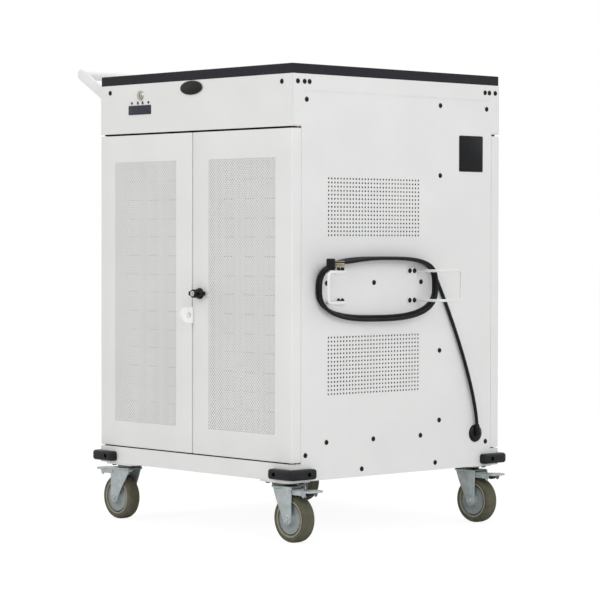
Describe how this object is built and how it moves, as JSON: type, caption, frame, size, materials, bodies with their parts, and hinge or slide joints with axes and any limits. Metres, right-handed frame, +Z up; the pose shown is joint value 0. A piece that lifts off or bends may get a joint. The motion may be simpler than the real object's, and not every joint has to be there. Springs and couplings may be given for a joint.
{
  "type": "laptop charging cart",
  "caption": "Steel laptop charging cart on braked casters, with perforated double doors, divided device shelves, rear adapter bay, push handle and coiled power cord.",
  "frame": {"origin": "on the floor under the middle of the footprint, with the handle, hooks and padlock tabs counted and the power cord left out", "axes": "+X to the right as seen from the front doors, +Y to the rear, +Z up"},
  "size_m": [0.8376, 0.6748, 1.025],
  "materials": {
    "white_paint": "satin white powder coat",
    "pale_paint": "satin pale grey powder coat",
    "black_top": "charcoal laminate with a fine grain",
    "black_plastic": "black moulded plastic",
    "bumper_rubber": "matt dark grey rubber",
    "zinc_steel": "bright zinc plate",
    "grey_tyre": "grey non-marking rubber",
    "grey_hub": "grey moulded plastic",
    "nickel": "nickel plate",
    "cord_rubber": "black rubber cord sheath"
  },
  "bodies": {
    "cabinet": {"base_frame": "white_paint", "left_side_panel": "white_paint", "right_side_panel": "white_paint", "front_fascia": "white_paint", "rear_fascia": "white_paint", "push_handle": "white_paint", "front_cord_hook": "white_paint", "rear_cord_hook": "white_paint", "top_deck": "pale_paint", "lower_shelf": "pale_paint", "upper_shelf": "pale_paint", "adapter_partition": "pale_paint", "work_top": "black_top", "lower_divider_rack": "black_plastic", "upper_divider_rack": "black_plastic", "power_strip": "black_plastic", "left_hinge_rod": "zinc_steel", "right_hinge_rod": "zinc_steel", "rear_hinge_rod": "zinc_steel", "key_switch_body": "nickel", "cord_gland": "cord_rubber", "cord_run": "cord_rubber", "cord_coil": "cord_rubber", "cord_plug": "cord_rubber", "front_left_bumper": "bumper_rubber", "front_left_caster_plate": "zinc_steel", "front_right_bumper": "bumper_rubber", "front_right_caster_plate": "zinc_steel", "rear_left_bumper": "bumper_rubber", "rear_left_caster_plate": "zinc_steel", "rear_right_bumper": "bumper_rubber", "rear_right_caster_plate": "zinc_steel"},
    "left_door": {"left_door": "white_paint", "left_door_liner": "pale_paint", "left_padlock_tab": "white_paint"},
    "right_door": {"right_door": "white_paint", "right_door_liner": "pale_paint", "right_padlock_tab": "white_paint"},
    "rear_door": {"rear_door": "white_paint"},
    "latch": {"wing_knob": "black_plastic", "latch_cam": "zinc_steel"},
    "lock_cylinder": {"lock_cylinder": "nickel"},
    "key_switch_plug": {"key_switch_plug": "nickel"},
    "rear_lock": {"rear_lock": "nickel"},
    "front_left_swivel": {"front_left_caster_fork": "zinc_steel"},
    "front_left_wheel": {"front_left_wheel_hub": "grey_hub", "front_left_tyre": "grey_tyre"},
    "front_left_brake": {"front_left_brake_lever": "zinc_steel"},
    "front_right_swivel": {"front_right_caster_fork": "zinc_steel"},
    "front_right_wheel": {"front_right_wheel_hub": "grey_hub", "front_right_tyre": "grey_tyre"},
    "front_right_brake": {"front_right_brake_lever": "zinc_steel"},
    "rear_left_swivel": {"rear_left_caster_fork": "zinc_steel"},
    "rear_left_wheel": {"rear_left_wheel_hub": "grey_hub", "rear_left_tyre": "grey_tyre"},
    "rear_left_brake": {"rear_left_brake_lever": "zinc_steel"},
    "rear_right_swivel": {"rear_right_caster_fork": "zinc_steel"},
    "rear_right_wheel": {"rear_right_wheel_hub": "grey_hub", "rear_right_tyre": "grey_tyre"},
    "rear_right_brake": {"rear_right_brake_lever": "zinc_steel"}
  },
  "joints": [
    {"name": "left_door_hinge", "type": "hinge", "parent": "cabinet", "child": "left_door", "pos_m": [-0.29425, -0.2861, 0.5175], "axis": [0, 0, -1], "range_deg": [0, 105]},
    {"name": "right_door_hinge", "type": "hinge", "parent": "cabinet", "child": "right_door", "pos_m": [0.34075, -0.2861, 0.5175], "axis": [0, 0, 1], "range_deg": [0, 105]},
    {"name": "rear_door_hinge", "type": "hinge", "parent": "cabinet", "child": "rear_door", "pos_m": [-0.29425, 0.3009, 0.5175], "axis": [0, 0, 1], "range_deg": [0, 105]},
    {"name": "latch_turn", "type": "hinge", "parent": "right_door", "child": "latch", "pos_m": [0.05025, -0.3051, 0.5175], "axis": [0, 1, 0], "range_deg": [0, 90]},
    {"name": "lock_cylinder_turn", "type": "hinge", "parent": "latch", "child": "lock_cylinder", "pos_m": [0.05025, -0.3051, 0.5175], "axis": [0, 1, 0], "range_deg": [0, 90]},
    {"name": "rear_lock_turn", "type": "hinge", "parent": "rear_door", "child": "rear_lock", "pos_m": [0.29125, 0.3199, 0.5175], "axis": [0, -1, 0], "range_deg": [0, 90]},
    {"name": "key_switch_turn", "type": "hinge", "parent": "cabinet", "child": "key_switch_plug", "pos_m": [-0.15545, -0.3051, 0.953], "axis": [0, 1, 0], "range_deg": [0, 90]},
    {"name": "front_left_swivel", "type": "hinge", "parent": "cabinet", "child": "front_left_swivel", "pos_m": [-0.23875, -0.2696, 0.13], "axis": [0, 0, 1], "continuous": true},
    {"name": "front_left_wheel_spin", "type": "hinge", "parent": "front_left_swivel", "child": "front_left_wheel", "pos_m": [-0.26875, -0.2696, 0.05037], "axis": [0, 1, 0], "continuous": true},
    {"name": "front_left_brake_press", "type": "hinge", "parent": "front_left_swivel", "child": "front_left_brake", "pos_m": [-0.27675, -0.2696, 0.1082], "axis": [0, -1, 0], "range_deg": [0, 10]},
    {"name": "front_right_swivel", "type": "hinge", "parent": "cabinet", "child": "front_right_swivel", "pos_m": [0.28525, -0.2696, 0.13], "axis": [0, 0, 1], "continuous": true},
    {"name": "front_right_wheel_spin", "type": "hinge", "parent": "front_right_swivel", "child": "front_right_wheel", "pos_m": [0.31525, -0.2696, 0.05037], "axis": [0, 1, 0], "continuous": true},
    {"name": "front_right_brake_press", "type": "hinge", "parent": "front_right_swivel", "child": "front_right_brake", "pos_m": [0.32325, -0.2696, 0.1082], "axis": [0, 1, 0], "range_deg": [0, 10]},
    {"name": "rear_left_swivel", "type": "hinge", "parent": "cabinet", "child": "rear_left_swivel", "pos_m": [-0.23875, 0.2844, 0.13], "axis": [0, 0, 1], "continuous": true},
    {"name": "rear_left_wheel_spin", "type": "hinge", "parent": "rear_left_swivel", "child": "rear_left_wheel", "pos_m": [-0.26875, 0.2844, 0.05037], "axis": [0, 1, 0], "continuous": true},
    {"name": "rear_left_brake_press", "type": "hinge", "parent": "rear_left_swivel", "child": "rear_left_brake", "pos_m": [-0.27675, 0.2844, 0.1082], "axis": [0, -1, 0], "range_deg": [0, 10]},
    {"name": "rear_right_swivel", "type": "hinge", "parent": "cabinet", "child": "rear_right_swivel", "pos_m": [0.28525, 0.2844, 0.13], "axis": [0, 0, 1], "continuous": true},
    {"name": "rear_right_wheel_spin", "type": "hinge", "parent": "rear_right_swivel", "child": "rear_right_wheel", "pos_m": [0.31525, 0.2844, 0.05037], "axis": [0, 1, 0], "continuous": true},
    {"name": "rear_right_brake_press", "type": "hinge", "parent": "rear_right_swivel", "child": "rear_right_brake", "pos_m": [0.32325, 0.2844, 0.1082], "axis": [0, 1, 0], "range_deg": [0, 10]}
  ]
}
